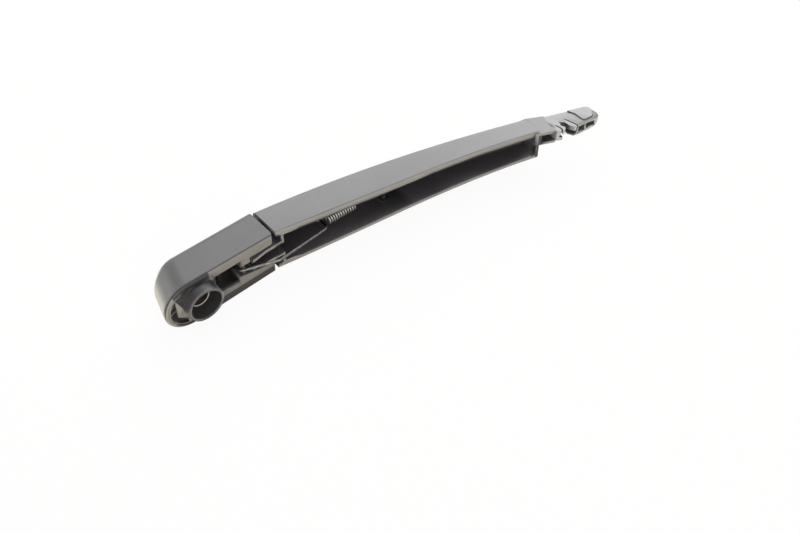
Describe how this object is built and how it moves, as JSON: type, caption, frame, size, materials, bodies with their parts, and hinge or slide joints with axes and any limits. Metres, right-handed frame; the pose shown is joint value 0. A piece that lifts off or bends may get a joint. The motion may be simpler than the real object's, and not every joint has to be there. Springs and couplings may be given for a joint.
{
  "type": "wiper arm",
  "caption": "Rear wiper arm with a moulded head on a splined bush, a hinged arched channel, a tension spring on a wire link, a nut cap and a snap-in blade connector.",
  "frame": {"origin": "on the spindle axis, at the floor of the collar bore where the bush begins", "axes": "+X from the head toward the blade connector, +Y outward from the window, -Y toward the window and along the spindle, +Z across the arm, upward as it lies on its side"},
  "size_m": [0.3162, 0.0796, 0.0368],
  "materials": {
    "head_plastic": "satin, finely grained",
    "cap_plastic": "satin, finely grained",
    "arm_plastic": "satin, finely grained",
    "clip_plastic": "satin",
    "bush_steel": "turned",
    "pin_steel": "ground",
    "link_steel": "dark oiled wire",
    "spring_steel": "drawn wire"
  },
  "bodies": {
    "head": {"head_housing": "head_plastic", "spindle_insert": "bush_steel", "hook_pin": "pin_steel"},
    "arm": {"arm_channel": "arm_plastic", "hinge_pin": "pin_steel", "anchor_pin": "pin_steel", "blade_clip": "clip_plastic"},
    "link": {"spring_link": "link_steel", "tension_spring": "spring_steel"},
    "cap": {"nut_cap": "cap_plastic"}
  },
  "joints": [
    {"name": "arm_lift", "type": "hinge", "parent": "head", "child": "arm", "pos_m": [0.046, 0.0202, 0], "axis": [0, 0, 1], "range_deg": [0, 60], "stiffness_Nm_per_rad": 1, "springref_deg": -68.75, "deforming": ["tension_spring"]},
    {"name": "link_swing", "type": "hinge", "parent": "head", "child": "link", "pos_m": [0.0335, 0.0035, 0], "axis": [0, 0, 1], "range_deg": [0, 51]},
    {"name": "cap_open", "type": "hinge", "parent": "head", "child": "cap", "pos_m": [0.0142, 0.0242, 0], "axis": [0, 0, -1], "range_deg": [0, 90]}
  ],
  "couplings": [
    {"joint": "link_swing", "follows": "arm_lift", "ratio": 0.85}
  ]
}
